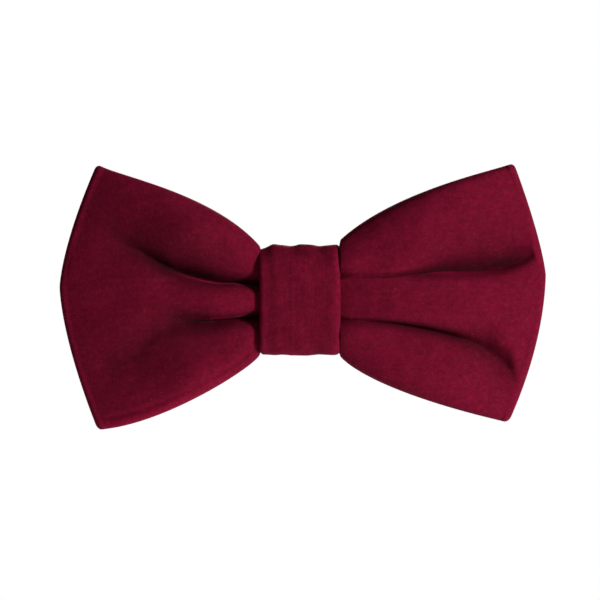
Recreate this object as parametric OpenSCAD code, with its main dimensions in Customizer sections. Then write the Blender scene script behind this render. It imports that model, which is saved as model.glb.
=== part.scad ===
// Pre-tied bow tie on an adjustable neck band.
// A stiffened cloth tube is folded into two loops, pleated and whipped with thread at
// its waist, and wrapped by a knot band that also threads it on to the neck band.
// Origin: on the axis of the neck, at half the height of the band. +Z is up, the bow
// faces -Y, and positions on the band are angles about Z measured from the front.

/* [Bow] */
// Width across both wings
bow_w = 120; // [110:1:130]
// Height of the wings at their outer folds
bow_h = 66; // [60:1:72]
// How far the front of a wing swells forward of a flat loop
puff_front = 5.6; // [3:0.1:7]
// How far the back of a wing swells
puff_back = 2.2; // [1:0.1:3]
// Thickness of the stiffened tube: two plies of cloth and the core
leaf_t = 2.6; // [2.2:0.1:3]
// Thickness of the core between the plies
core_t = 0.7; // [0.5:0.1:0.9]

/* [Knot] */
// Width of the knot band
knot_w = 20; // [18:0.5:24]
// Height of the knot
knot_h = 27.2; // [26:0.2:30]
// Thickness of the knot band
knot_t = 2.0; // [1.6:0.1:2.2]

/* [Neck band] */
// Radius of the collar that the band closes round
collar_r = 58.5; // [56:0.5:66]
// Width of the band
band_w = 16; // [14:0.5:17]
// Thickness of the band
band_t = 0.7; // [0.5:0.1:0.8]
// Where the adjuster sits, in degrees from the front
adjuster_at = 104; // [80:1:120]

/* [Hidden] */
$fn = 64;

VELVET = [0.37, 0.04, 0.14];
SATIN = [0.30, 0.04, 0.12];
CORE = [0.92, 0.91, 0.88];
THREAD = [0.22, 0.03, 0.09];
NICKEL = [0.78, 0.78, 0.80];

// ---- depths, counted outward from the axis of the neck --------------------------
tunnel_in = collar_r + 2.1;               // the band's tunnel through the knot
tunnel_out = tunnel_in + band_t + 1.1;
band_front_r = tunnel_in + 0.5;           // the band inside that tunnel
waist_back = 4.3;                         // waist, back and front of the bow's mid-plane
waist_front = 5.4;
mid_y = -(tunnel_out + 0.2 + waist_back); // the bow's mid-plane
waist_x = 6.5;                            // half-width of the gathered waist
waist_half = knot_h / 2 - knot_t - 0.35;
kx = bow_w / 120;
kz = bow_h / 66;

// ---- wings ----------------------------------------------------------------------
// Each wing: top edge, bottom edge (control points of a cubic, x outward and z up),
// then how far the outer fold bulges past its chord, where, and how sharply.
LEFT = [
  [[9.9, 13.3], [21.6, 26.8], [46.4, 30.7], [50.1, 33.6]],
  [[9.9, -13.3], [9.8, -15.5], [33.3, -30.8], [49.9, -32.0]],
  [9.3, 0.07, 1.45, 1.5]
];
RIGHT = [
  [[9.9, 14.8], [22.8, 26.7], [46.4, 31.5], [52.8, 33.8]],
  [[9.9, -13.8], [11.0, -15.1], [17.8, -22.2], [51.6, -30.0]],
  [8.4, 0.13, 1.3, 1.85]
];
// Pleats: route (x, z), depth (x, depth), and half-width.
LEFT_PLEATS = [
  [[[10, 4.2], [21, 5.2], [28, 7.9], [35, 10.9], [42, 13.8]],
   [[8, 3.0], [14, 4.5], [24, 3.8], [34, 2.6], [44, 0]], 2.6],
  [[[10, -4.2], [25, -5.7], [33, -9.4], [42, -14.8]],
   [[8, 3.0], [14, 4.3], [24, 2.6], [34, 1.8], [46, 0]], 3.0]
];
RIGHT_PLEATS = [
  [[[10, 6.2], [25, 6.4], [37, 7.9], [49, 10.4], [57, 12.3]],
   [[8, 3.0], [14, 2.6], [26, 2.6], [40, 3.0], [54, 1.0], [58, 0]], 3.0],
  [[[10, -5.2], [20, -5.4], [33, -7.4], [44, -10.6], [53, -16.5]],
   [[8, 3.0], [14, 3.0], [26, 3.2], [42, 2.6], [54, 0]], 2.6]
];

fold_r = 3.0;                  // outside radius of the fold at a wing's outer edge
fold_mid = fold_r - leaf_t / 2;
throat = 0.8;                  // how soon a wing swells out of the knot
front_steps = 13;
fold_steps = 4;
back_steps = 8;
across = 15;
roll_steps = 2;
edge_steps = 24;
in_knot = 0.1;                 // share of a leaf that lies inside the knot

function mix(a, b, t) = a + (b - a) * t;
function bezier(p, t) = pow(1 - t, 3) * p[0] + 3 * pow(1 - t, 2) * t * p[1]
  + 3 * (1 - t) * t * t * p[2] + t * t * t * p[3];
function edge_table(p) = [for (i = [0 : edge_steps]) bezier(p, i / edge_steps)];
function edge_z(p, x) = let (
    z = lookup(x, edge_table(p)),
    narrow = (1 - waist_half / (kz * abs(p[0][1]))) * exp(-pow(max(0, x - p[0][0]) / throat, 2))
  ) kz * z * (1 - narrow);
// Outermost x of a wing at height v, from -1 at the bottom edge to 1 at the top.
function outer_x(w, v) = let (
    b = w[2],
    away = v > b[1] ? (v - b[1]) / (1 - b[1]) : (b[1] - v) / (1 + b[1]),
    chord = mix(w[1][3][0], w[0][3][0], (v + 1) / 2)
  ) kx * (chord + b[0] * (1 - pow(min(1, away), v > b[1] ? b[2] : b[3])));
function top_z(w, q) = edge_z(w[0], waist_x + q * (w[0][3][0] - waist_x));
function bottom_z(w, q) = edge_z(w[1], waist_x + q * (w[1][3][0] - waist_x));
function wing_z(w, q, v) = mix(bottom_z(w, q), top_z(w, q), (v + 1) / 2);
function fold_q(w, v) = 1 - fold_r / (outer_x(w, v) - waist_x);

// Swell of a leaf from the waist (t = 0) to its outer fold (t = 1).
function swell(t) = pow(t, 0.8) * pow(1 - t, 0.9) / 0.31;
function pleat_depth(pleats, x, z) = [for (p = pleats)
    lookup(x, p[1]) * exp(-pow((z - kz * lookup(x, p[0])) / p[2], 2))
  ] * [for (p = pleats) 1];
function past_knot(w, q, v) = let (q0 = (knot_w / 2 - waist_x) / (outer_x(w, v) - waist_x))
  max(0, min(1, (q - q0) / (fold_q(w, v) - q0)));
function front_h(w, pleats, q, v) = let (
    t = min(1, q / fold_q(w, v)),
    x = mix(waist_x, outer_x(w, v), q) / kx,
    z = wing_z(w, q, v),
    corner = 1 - 0.5 * pow(abs(v), 6),         // keeps clear of the knot's round corners
    plain = fold_mid + (waist_front - leaf_t / 2 - fold_mid) * pow(1 - t, 2) * corner
      + puff_front * swell(past_knot(w, q, v)) * (1 - 0.45 * pow(abs(v), 2.5))
  ) max(fold_mid * 0.8, plain - pleat_depth(pleats, x, z) * min(1, 8 * (1 - t)));
function back_h(w, q, v) = let (t = min(1, q / fold_q(w, v)))
  fold_mid + (waist_back - leaf_t / 2 - fold_mid) * pow(1 - t, 2)
    + puff_back * swell(past_knot(w, q, v)) * (1 - 0.4 * pow(abs(v), 2));

// Outline of the tube's section: [share of the flat, roll outward, side], thickness 1.
SECTION = concat(
  [for (i = [0 : across]) [-1 + 2 * i / across, 0, 1]],
  [for (i = [1 : roll_steps]) let (a = 90 - 180 * i / (roll_steps + 1)) [1, cos(a), sin(a)]],
  [for (i = [0 : across]) [1 - 2 * i / across, 0, -1]],
  [for (i = [1 : roll_steps]) let (a = 90 - 180 * i / (roll_steps + 1)) [-1, -cos(a), -sin(a)]]
);
// Stations round the loop: [leaf, share], leaf 0 front, 1 outer fold, 2 back.
STATIONS = concat(
  [[0, 0]],
  [for (i = [0 : front_steps]) [0, mix(in_knot, 1, i / front_steps)]],
  [for (i = [1 : fold_steps - 1]) [1, i / fold_steps]],
  [for (i = [0 : back_steps]) [2, mix(1, in_knot, i / back_steps)]],
  [[2, 0]]
);

// The first share of a leaf lies inside the knot, the rest is spaced out beyond it.
function leaf_q(share, qf, span) = let (q0 = (knot_w / 2 - waist_x) / span)
  share <= in_knot ? share / in_knot * q0
    : q0 + (qf - q0) * pow((share - in_knot) / (1 - in_knot), 1.25);
// A point of the layer that is t thick and stops `inset` short of the tube's edges.
function loop_point(w, pleats, side, s, c, t, inset) = let (
    rough_q = s[0] == 1 ? 1 : leaf_q(s[1], 1, w[0][3][0] - waist_x),
    half = (top_z(w, rough_q) - bottom_z(w, rough_q)) / 2,
    roll = t / 2 / half,
    v = c[0] * (1 - roll - inset / half) + c[1] * roll,
    lift = c[2] * t / 2,
    qf = fold_q(w, v),
    span = outer_x(w, v) - waist_x,
    turn = 180 * s[1],
    q = s[0] == 1 ? qf + (fold_mid + lift) / span * sin(turn) : leaf_q(s[1], qf, span),
    h = s[0] == 0 ? front_h(w, pleats, q, v) + lift
      : s[0] == 1 ? (fold_mid + lift) * cos(turn)
      : -back_h(w, q, v) - lift
  ) [side * (waist_x + q * span), mid_y - h, wing_z(w, q, v)];
function layer(w, pleats, side, stations, t, inset) =
  [for (s = stations, c = SECTION) loop_point(w, pleats, side, s, c, t, inset)];

section_n = len(SECTION);
function quad(a, b, c, d, flip) = flip ? [[a, c, b], [a, d, c]] : [[a, b, c], [a, c, d]];
function skin_faces(rows, start, flip) = [for (i = [0 : rows - 2], j = [0 : section_n - 1])
  let (k = (j + 1) % section_n, r = start + i * section_n)
  each quad(r + j, r + k, r + section_n + k, r + section_n + j, flip)];
function rim_faces(a, b, flip) = [for (j = [0 : section_n - 1])
  let (k = (j + 1) % section_n) each quad(a + j, b + j, b + k, a + k, flip)];

// The cloth tube, open at its two waist ends, with room inside it for the core.
module wing_loop(w, pleats, side) {
  rows = len(STATIONS);
  outer = layer(w, pleats, side, STATIONS, leaf_t, 0);
  inner = layer(w, pleats, side, STATIONS, core_t + 0.2, 0.95);
  n = len(outer);
  last = (rows - 1) * section_n;
  flip = side < 0;
  color(VELVET)
    polyhedron(concat(outer, inner), concat(
      skin_faces(rows, 0, flip),
      skin_faces(rows, n, !flip),
      rim_faces(0, n, flip),
      rim_faces(last, n + last, !flip)));
}

// The stiffening core that fills the tube and turns with it round the outer fold.
module wing_core(w, pleats, side) {
  rows = len(STATIONS);
  pts = layer(w, pleats, side, STATIONS, core_t, 1.2);
  flip = side < 0;
  color(CORE)
    polyhedron(pts, concat(
      skin_faces(rows, 0, flip),
      [[for (j = [0 : section_n - 1]) flip ? j : section_n - 1 - j]],
      [[for (j = [0 : section_n - 1]) (rows - 1) * section_n + (flip ? section_n - 1 - j : j)]]));
}

// ---- waist and knot -------------------------------------------------------------
groove = 0.9;   // sunk round the waist for the whipping thread
turns = 6;
turn_pitch = 1.1;

// Rounded rectangle in the YZ plane, extruded along X.
module slab(width, front, back, half, r) {
  depth = front + back;
  translate([-width / 2, mid_y + (back - front) / 2, 0])
    rotate([90, 0, 90])
      linear_extrude(width) {
        square([depth - 2 * r, 2 * half], center = true);
        square([depth, 2 * half - 2 * r], center = true);
        for (i = [-1, 1], j = [-1, 1])
          translate([i * (depth / 2 - r), j * (half - r)]) circle(r, $fn = 32);
      }
}

module pleated_waist() {
  color(VELVET)
    difference() {
      slab(2 * waist_x - 0.1, waist_front, waist_back, waist_half, 3.4);
      difference() {
        slab(turns * turn_pitch + 0.2, 20, 20, 40, 1);
        slab(turns * turn_pitch + 1, waist_front - groove, waist_back - groove,
          waist_half - groove, 2.5);
      }
    }
}

module waist_thread() {
  color(THREAD)
    for (i = [0 : turns - 1])
      translate([(i - (turns - 1) / 2) * turn_pitch, 0, 0])
        difference() {
          slab(0.8, waist_front - 0.05, waist_back - 0.05, waist_half - 0.05, 3.35);
          slab(1, waist_front - groove + 0.05, waist_back - groove + 0.05,
            waist_half - groove + 0.05, 2.55);
        }
}

knot_front = waist_front + 0.2 + knot_t;
knot_back = -mid_y - collar_r - 0.3;
module knot_ring() {
  difference() {
    slab(knot_w, knot_front, knot_back, knot_h / 2, 4.2);
    difference() {
      slab(knot_w + 1, knot_front - knot_t, 12, knot_h / 2 - knot_t, 3.6);
      cylinder(r = tunnel_in, h = 80, center = true, $fn = 128);
    }
  }
}

// The knot band lies in two plies with its own core between them.
core_wall = 0.75;
core_gap = 0.06;
module knot_hollow(inset) {
  slab(knot_w - 2 * (core_wall + inset), knot_front - core_wall - inset, 0,
    knot_h / 2 - core_wall - inset, 3.2);
}
module knot_core_space(inset) {
  difference() {
    knot_hollow(inset);
    slab(knot_w, knot_front - knot_t + core_wall - 0.3 + inset, 12,
      knot_h / 2 - knot_t + core_wall - 0.3 + inset, 3);
    translate([0, mid_y + 20 - 3, 0]) cube([60, 40, 60], center = true);
  }
}

module knot_band() {
  color(VELVET)
    difference() {
      knot_ring();
      knot_core_space(0);
    }
}

module knot_core() {
  color(CORE) knot_core_space(core_gap);
}

// Ladder stitches that close the lap of the knot band on the neck side.
stitch_n = 6;
stitch_pitch = 2.6;
module knot_stitches() {
  color(THREAD)
    for (i = [0 : stitch_n - 1])
      translate([(i - (stitch_n - 1) / 2) * stitch_pitch, -(collar_r + 0.42), -3.2])
        rotate([0, 20, 0]) cylinder(r = 0.25, h = 2.6, center = true, $fn = 16);
}

// ---- neck band ------------------------------------------------------------------
plateau = 22;      // half-angle over which the band rides out through the knot
settled = 36;      // where it is back on the collar
double_r = collar_r + band_t + 0.1; // second layer, between the adjuster and the hook
hook_at = 172;
eye_at = 183.4;
left_end = 203;    // where the left run meets its fold, going on past the back
right_end = 157;
seam = 0.15;         // angle left between one stretch of band and the next

function polar(a, r) = [r * sin(a), -r * cos(a)];
function ease(t) = t * t * (3 - 2 * t);

// A ribbon of thickness t along a route in the XY plane.
function across_route(p, i) = let (
    a = p[max(0, i - 1)],
    b = p[min(len(p) - 1, i + 1)],
    d = (b - a) / norm(b - a)
  ) [-d[1], d[0]];
module ribbon(route, t, w) {
  n = len(route);
  linear_extrude(w, center = true)
    polygon(concat(
      [for (i = [0 : n - 1]) route[i] + across_route(route, i) * t / 2],
      [for (i = [n - 1 : -1 : 0]) route[i] - across_route(route, i) * t / 2]));
}
module arc_run(from, to, r) {
  rotate([0, 0, from - 90])
    rotate_extrude(angle = to - from, $fn = 128)
      translate([r, -band_w / 2]) square([band_t, band_w]);
}

// Mid radius of the band's front: out on the plateau, easing back on to the collar.
function front_r(a) = mix(band_front_r, collar_r, ease(max(0, abs(a) - plateau) / (settled - plateau)))
  + band_t / 2;
module band_front_run() {
  end = settled - seam;
  color(SATIN) ribbon([for (i = [-18 : 18]) polar(end * i / 18, front_r(end * i / 18))], band_t, band_w);
}
module band_left_run() {
  color(SATIN) arc_run(left_end, 360 - settled, collar_r);
}
module band_right_run() {
  color(SATIN) arc_run(settled, adjuster_at - 0.5, collar_r);
}
module band_outer_run() {
  color(SATIN) arc_run(adjuster_at + 0.5, right_end, double_r);
}
module band_return_run() {
  color(SATIN) arc_run(adjuster_at - 0.5, right_end, collar_r);
}

// Places children that are drawn at the front, standing outward along -Y.
module at_band(a) {
  rotate([0, 0, a]) children();
}

// ---- eye ------------------------------------------------------------------------
wire = 1.2;
eye_half = 3.6;
eye_y = collar_r + 2.74;
eye_inner = band_w + 0.8;
module eye_loop() {
  z = (eye_inner + wire) / 2;
  color(NICKEL)
    at_band(eye_at)
      translate([0, -eye_y, 0]) {
        for (i = [-1, 1]) {
          translate([i * eye_half, 0, 0]) cylinder(d = wire, h = 2 * z, center = true, $fn = 24);
          translate([0, 0, i * z]) rotate([0, 90, 0])
            cylinder(d = wire, h = 2 * eye_half, center = true, $fn = 24);
          for (j = [-1, 1])
            translate([i * eye_half, 0, j * z]) sphere(d = wire, $fn = 24);
        }
      }
}

wrap_r = wire / 2 + 0.06 + band_t / 2;
fold_end = 196;
bar_a = eye_at + atan(eye_half / eye_y);
bar_r = norm([eye_half, eye_y]);
bar_edge = bar_a + 1.2;
// Mid radius of the inner layer of the fold, and of the end turned back over it.
function eye_inner_r(a) = mix(collar_r + band_t / 2, bar_r - wrap_r,
  ease((left_end - a) / (left_end - bar_edge)));
function eye_outer_r(a) = eye_inner_r(a)
  + mix(band_t + 0.05, 2 * wrap_r, ease((fold_end - a) / (fold_end - bar_edge)));
module band_eye_fold() {
  bar = polar(bar_a, bar_r);
  inner = [for (i = [0 : 8]) let (a = mix(left_end - seam, bar_edge, i / 8))
    polar(a, eye_inner_r(a))];
  turn = [for (i = [0 : 10]) bar + polar(bar_a + 18 * i, -wrap_r)];
  outer = [for (i = [0 : 6]) let (a = mix(bar_edge, fold_end, i / 6)) polar(a, eye_outer_r(a))];
  color(SATIN) ribbon(concat(inner, turn, outer), band_t, band_w);
}

// Two rows of stitches that hold the turned-in end of the band down.
module eye_fold_stitches() {
  color(THREAD)
    for (a = [193.6, 195.2], i = [-3 : 3])
      rotate([0, 0, a])
        translate([0, -eye_outer_r(a) - band_t / 2 + 0.07, 2 * i])
          cylinder(r = 0.22, h = 1.5, center = true, $fn = 16);
}

// ---- hook -----------------------------------------------------------------------
// Side profile, tangent along X and outward from the axis along Y.
plate_y = collar_r + 3.6;
hook_t = 1.0;
shank_y = plate_y - 1.5;
lip_y = plate_y - 3.3;
nose_x = 10.3;
lip_x = 5.9;
tail_x = -9.2;
module hook_profile() {
  nose_r = (plate_y + hook_t - lip_y) / 2;
  polygon(concat(
    [[tail_x, shank_y], [-4.2, shank_y], [-2.4, plate_y]],
    [for (i = [0 : 10]) let (a = 90 - 18 * i, r = nose_r - hook_t + 0.1)
      [nose_x - nose_r + r * cos(a), lip_y + nose_r + r * sin(a)]],
    [[lip_x, lip_y + hook_t - 0.15], [lip_x - 0.3, lip_y + 0.2], [lip_x, lip_y]],
    [for (i = [0 : 10]) let (a = -90 + 18 * i)
      [nose_x - nose_r + nose_r * cos(a), lip_y + nose_r + nose_r * sin(a)]],
    [[-2.8, plate_y + hook_t], [-4.6, shank_y + hook_t], [tail_x, shank_y + hook_t]]));
}
hook_slot = 2.9;
hook_bar = 1.5;
module hook() {
  color(NICKEL)
    at_band(hook_at)
      difference() {
        mirror([0, 1, 0]) linear_extrude(eye_inner + 3, center = true) hook_profile();
        translate([tail_x + hook_bar + hook_slot / 2, -plate_y, 0])
          cube([hook_slot, 8, eye_inner], center = true);
        for (i = [-1, 1])
          translate([9.4, -plate_y, i * 13]) cube([12, 12, 14], center = true);
      }
}

module band_hook_fold() {
  bar_mid = tail_x + hook_bar / 2;
  wrap = band_t / 2 + 0.06;
  up = hook_t / 2 + wrap;
  y = shank_y + hook_t / 2;
  start = right_end - hook_at + seam;
  function local(a, r) = [r * sin(a), r * cos(a)];
  flat_x = tail_x - 0.2;
  inner = [for (i = [0 : 6]) let (t = i / 6, from = local(start, collar_r + band_t / 2))
    [mix(from[0], flat_x, t), mix(from[1], y - up, ease(t))]];
  turn = [for (i = [0 : 10]) [bar_mid + hook_bar / 2 + wrap * cos(90 - 18 * i) * 1.4,
    y - up * cos(18 * i)]];
  outer = [for (i = [0 : 6]) let (t = i / 6, to = local(start, double_r + band_t / 2))
    [mix(flat_x, to[0], t), mix(y + up, to[1], ease(t))]];
  color(SATIN)
    at_band(hook_at)
      mirror([0, 1, 0])
        ribbon(concat(inner, turn, outer), band_t, band_w);
}

// ---- adjuster -------------------------------------------------------------------
slide_slot = 3.0;
slide_bar = 1.6;
slide_mid = 1.8;
slide_t = 1.0;
slide_len = 2 * slide_slot + 2 * slide_bar + slide_mid;
loop_y = double_r + band_t + 0.2 + band_t / 2;    // the end loop under the middle bar
slide_y = loop_y + band_t / 2 + 0.06;
module adjuster() {
  color(NICKEL)
    at_band(adjuster_at)
      translate([0, -slide_y - slide_t / 2, 0])
        rotate([90, 0, 0])
          linear_extrude(slide_t, center = true)
            difference() {
              slide_outline();
              for (i = [-1, 1])
                translate([i * (slide_mid + slide_slot) / 2, 0])
                  square([slide_slot, eye_inner], center = true);
            }
}
module slide_outline() {
  h = eye_inner + 3.4;
  r = 1.4;
  square([slide_len - 2 * r, h], center = true);
  square([slide_len, h - 2 * r], center = true);
  for (i = [-1, 1], j = [-1, 1])
    translate([i * (slide_len / 2 - r), j * (h / 2 - r)]) circle(r, $fn = 32);
}

// The band's sewn end, closed round the middle bar.
module adjuster_end_loop() {
  x = slide_mid / 2;
  up = slide_t / 2 + 0.06 + band_t / 2;
  y = slide_y + slide_t / 2;
  route = concat(
    [[x + 0.8, y - up]],
    [for (i = [0 : 10]) [-x + 0.1 - up * sin(18 * i), y - up * cos(18 * i)]],
    [[x, y + up]]);
  color(SATIN)
    at_band(adjuster_at) mirror([0, 1, 0]) ribbon(route, band_t, band_w);
}

module end_loop_stitches() {
  y = slide_y + slide_t + 0.06 + band_t;
  color(THREAD)
    at_band(adjuster_at)
      for (i = [0 : 6])
        translate([-0.6, -y - 0.02, (i - 3) * 2.1])
          cylinder(r = 0.12, h = 1.3, center = true, $fn = 16);
}

// The stretch of band that climbs over the middle bar and rides with the adjuster.
module band_weave() {
  top = slide_y + slide_t + 0.06 + band_t + 0.25 + band_t / 2;
  low = double_r + band_t + 0.5;
  reach = slide_mid / 2 + slide_slot - 0.7;
  squarish = 2 / 2.6;
  route = [for (i = [-8 : 8]) let (a = 90 * i / 8)
    [sign(i) * reach * pow(abs(sin(a)), squarish), low + (top - low) * pow(cos(a), squarish)]];
  color(SATIN)
    at_band(adjuster_at) mirror([0, 1, 0]) ribbon(route, band_t, band_w);
}

wing_loop(LEFT, LEFT_PLEATS, -1);  // left_wing_loop
wing_loop(RIGHT, RIGHT_PLEATS, 1);  // right_wing_loop
wing_core(LEFT, LEFT_PLEATS, -1);  // left_wing_core
wing_core(RIGHT, RIGHT_PLEATS, 1);  // right_wing_core
pleated_waist();
waist_thread();
knot_band();
knot_core();
knot_stitches();
band_front_run();
band_left_run();
band_right_run();
band_outer_run();
band_return_run();
band_eye_fold();
eye_fold_stitches();
eye_loop();
hook();
band_hook_fold();
adjuster();
adjuster_end_loop();
end_loop_stitches();
band_weave();
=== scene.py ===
"""Looks for the ready-tied bow tie: velvet wings and knot, satin neck band, nickel fittings.

Shapes are worked out in millimetres in the CAD's frame and put into Blender in metres.
Places along the neck band are angles from the front, in degrees, positive to the viewer's right.
"""

import math

import bpy
import numpy as np
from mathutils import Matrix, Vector


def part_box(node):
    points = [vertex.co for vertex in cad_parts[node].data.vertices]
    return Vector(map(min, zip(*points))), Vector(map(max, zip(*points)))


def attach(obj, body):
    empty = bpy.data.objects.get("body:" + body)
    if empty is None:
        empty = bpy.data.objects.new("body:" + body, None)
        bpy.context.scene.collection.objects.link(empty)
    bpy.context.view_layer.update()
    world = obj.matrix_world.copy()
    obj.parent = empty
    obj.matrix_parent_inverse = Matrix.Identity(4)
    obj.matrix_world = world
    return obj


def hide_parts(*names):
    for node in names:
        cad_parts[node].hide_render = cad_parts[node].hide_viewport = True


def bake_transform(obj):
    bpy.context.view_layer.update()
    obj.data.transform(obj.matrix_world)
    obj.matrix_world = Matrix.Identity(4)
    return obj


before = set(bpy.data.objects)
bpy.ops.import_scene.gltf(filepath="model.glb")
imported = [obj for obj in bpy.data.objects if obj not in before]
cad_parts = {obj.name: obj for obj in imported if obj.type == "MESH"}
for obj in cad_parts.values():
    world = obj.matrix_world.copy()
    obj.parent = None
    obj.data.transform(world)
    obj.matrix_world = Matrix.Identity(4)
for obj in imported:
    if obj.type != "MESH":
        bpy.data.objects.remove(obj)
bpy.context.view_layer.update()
MM = 0.001


def cad(name):
    """The box of a CAD node, in millimetres."""
    lo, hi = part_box(name)
    return np.array(lo) / MM, np.array(hi) / MM


# ---- shared sizes, most of them taken from the frame ----
WAIST_BACK = 4.3  # from the bow's mid-plane to the back of the waist
KNOT_LO, KNOT_HI = cad("knot_band")
WAIST_LO, WAIST_HI = cad("pleated_waist")
MID_Y = WAIST_HI[1] - WAIST_BACK
WAIST_X = WAIST_HI[0]
KNOT_X = KNOT_HI[0]
BAND_HALF = cad("band_left_run")[1][2]
BAND_R = 58.5  # inside of the band where it lies on the collar
BAND_T = 0.7


# ---- mesh helpers ----
def add_object(name, data):
    obj = bpy.data.objects.new(name, data)
    bpy.context.scene.collection.objects.link(obj)
    return obj


# A shape is (vertices, quads, caps): an N x 3 array, an M x 4 array and a list of longer faces.
def make_object(name, shape, material, pile_and_painted_light=None):
    """The last argument says how much lighter (above 0) or darker (below 0) the colour is painted at each
    point: painted shade in folds and painted highlights, partly the lie of the pile.
    """
    verts, quads, caps = shape
    faces = [quads.ravel()] + [np.asarray(c) for c in caps]
    sizes = np.concatenate([np.full(len(quads), 4), [len(c) for c in caps]]).astype(np.int32)
    corners = np.concatenate(faces).astype(np.int32)
    starts = np.concatenate([[0], np.cumsum(sizes)[:-1]]).astype(np.int32)
    mesh = bpy.data.meshes.new(name)
    mesh.vertices.add(len(verts))
    mesh.vertices.foreach_set("co", (np.asarray(verts) * MM).ravel())
    mesh.loops.add(len(corners))
    mesh.loops.foreach_set("vertex_index", corners)
    mesh.polygons.add(len(sizes))
    mesh.polygons.foreach_set("loop_start", starts)
    mesh.polygons.foreach_set("use_smooth", np.ones(len(sizes), bool))
    mesh.update(calc_edges=True)
    mesh.validate()
    if pile_and_painted_light is not None:
        mesh.attributes.new("pile_and_painted_light", "FLOAT", "POINT").data.foreach_set("value", pile_and_painted_light.ravel())
    mesh.materials.append(material)
    return add_object(name, mesh)


def grid_quads(rows, cols, start=0, wrap=False):
    """Quads over rows of points that each close on themselves; wrap joins the last row to the first."""
    i = np.arange(rows if wrap else rows - 1)[:, None]
    j = np.arange(cols)[None, :]
    a, b, k = start + i * cols, start + (i + 1) % rows * cols, (j + 1) % cols
    return np.stack([a + j, a + k, b + k, b + j], axis=-1).reshape(-1, 4)


def rim_quads(a, b, cols):
    """Quads that join the row starting at a to the row starting at b."""
    j = np.arange(cols)
    k = (j + 1) % cols
    return np.stack([a + j, b + j, b + k, a + k], axis=-1)


def outward(verts, quads, caps=()):
    """The closed shape, with its faces turned so that their normals point out."""
    v = np.asarray(verts, float)
    tris = [quads[:, [0, 1, 2]], quads[:, [0, 2, 3]]]
    for c in caps:
        c = np.asarray(c)
        tris.append(np.stack([np.full(len(c) - 2, c[0]), c[1:-1], c[2:]], axis=1))
    t = v[np.concatenate(tris)]
    if np.einsum("ij,ij->i", t[:, 0], np.cross(t[:, 1], t[:, 2])).sum() < 0:
        return v, quads[:, ::-1], [np.asarray(c)[::-1] for c in caps]
    return v, quads, [np.asarray(c) for c in caps]


def capped(rows, cols, verts):
    """A run of closed rows with both ends filled."""
    last = len(verts) - cols
    return outward(verts, grid_quads(rows, cols), [np.arange(cols)[::-1], np.arange(last, last + cols)])


def join_parts(parts):
    """Several shapes as one."""
    verts, quads, caps, start = [], [], [], 0
    for v, q, c in parts:
        verts.append(v)
        quads.append(q + start)
        caps += [k + start for k in c]
        start += len(v)
    return np.concatenate(verts), np.concatenate(quads), caps


def strip_section(across, roll):
    """Outline of a strip with rolled edges: share of its width, part out from the edge, part up."""
    flat = np.linspace(-1, 1, across)
    a = np.radians(90 - 180 * np.arange(1, roll + 1) / (roll + 1))
    share = np.concatenate([flat, np.ones(roll), flat[::-1], -np.ones(roll)])
    out = np.concatenate([flat * 0, np.cos(a), flat * 0, -np.cos(a)])
    up = np.concatenate([flat * 0 + 1, np.sin(a), flat * 0 - 1, -np.sin(a)])
    return share, out, up


def at(x, *pairs):
    """A value that runs through (x, value) pairs in straight steps."""
    xs, ys = zip(*pairs)
    return np.interp(x, xs, ys)


def smooth_at(x, *pairs):
    """A value that runs through (x, value) pairs in one smooth curve."""
    xs, ys = np.array(pairs, float).T
    i = np.clip(np.searchsorted(xs, x) - 1, 0, len(xs) - 2)
    h = xs[i + 1] - xs[i]
    t = unit((x - xs[i]) / h)
    slope = np.gradient(ys, xs)
    return (
        (1 + 2 * t) * (1 - t) ** 2 * ys[i]
        + t * (1 - t) ** 2 * h * slope[i]
        + t * t * (3 - 2 * t) * ys[i + 1]
        + t * t * (t - 1) * h * slope[i + 1]
    )


def unit(t):
    """Cut off below 0 and above 1."""
    return np.clip(t, 0, 1)


def ease(t):
    """0 to 1 with a soft start and end."""
    t = unit(t)
    return t * t * (3 - 2 * t)


def bell(e, width):
    """1 at e = 0, and nearly 0 at twice the width."""
    return np.exp(-((e / width) ** 2))


def ripples(x, z, seed, size, stretch=1.0, waves=14):
    """Smooth seeded unevenness, about -1 to 1, with bumps of about this size."""
    rng = np.random.default_rng(seed)
    total = np.zeros(np.broadcast(x, z).shape)
    for _ in range(waves):
        turn = rng.uniform(0, 2 * math.pi)
        k = 2 * math.pi / (size * rng.uniform(0.7, 1.6))
        phase = rng.uniform(0, 2 * math.pi)
        total += np.sin(k * (np.cos(turn) * x / stretch + np.sin(turn) * z) + phase)
    return total / math.sqrt(waves)


# ---- wings ----
LEAF_T = 2.6  # velvet, core and velvet
CORE_T = 0.7
CORE_EASE = 0.15  # room round the core
HOLLOW_INSET = 0.95  # from the velvet's edge to the hollow, and to the core in it
CORE_INSET = 1.2
FOLD_R = 3.0  # half the thickness of the loop at its outer fold
FOLD_MID = FOLD_R - LEAF_T / 2
FOLD_X = 2.0  # how far the outer fold reaches past the leaves
BACK_BLUNT = 0.78  # how round the back half of that fold is: 1 is an ellipse, less is squarer
WAIST_HALF = WAIST_HI[2]
THROAT = 0.35  # how soon a wing swells to its full height out of the knot
THROAT_IN = 0.7  # how far before its edges' first point that starts
WAIST_PUFF = 2.8  # how far the front leaf stands out at the knot
FLARE_POWER = 2.6  # the front leaf keeps its puff and falls to the outer fold late
LEAF_SPACING = 1.25  # rows lie closer together near the knot
FADE_FROM = 0.84  # share of the leaf from which folds fade towards the outer fold
CREASE_PAINTED_SHADE = 0.85  # how much painted shade a deep narrow crease gets
WALL_PAINTED_SHADE = 0.7  # and how much painted shade its steep side gets

# Rows of points inside the knot, on the front leaf, round the outer fold and on the back leaf.
SKIN_ROWS = (5, 170, 24, 56)
HOLLOW_ROWS = (5, 110, 10, 30)
CORE_ROWS = (4, 110, 8, 30)


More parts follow.
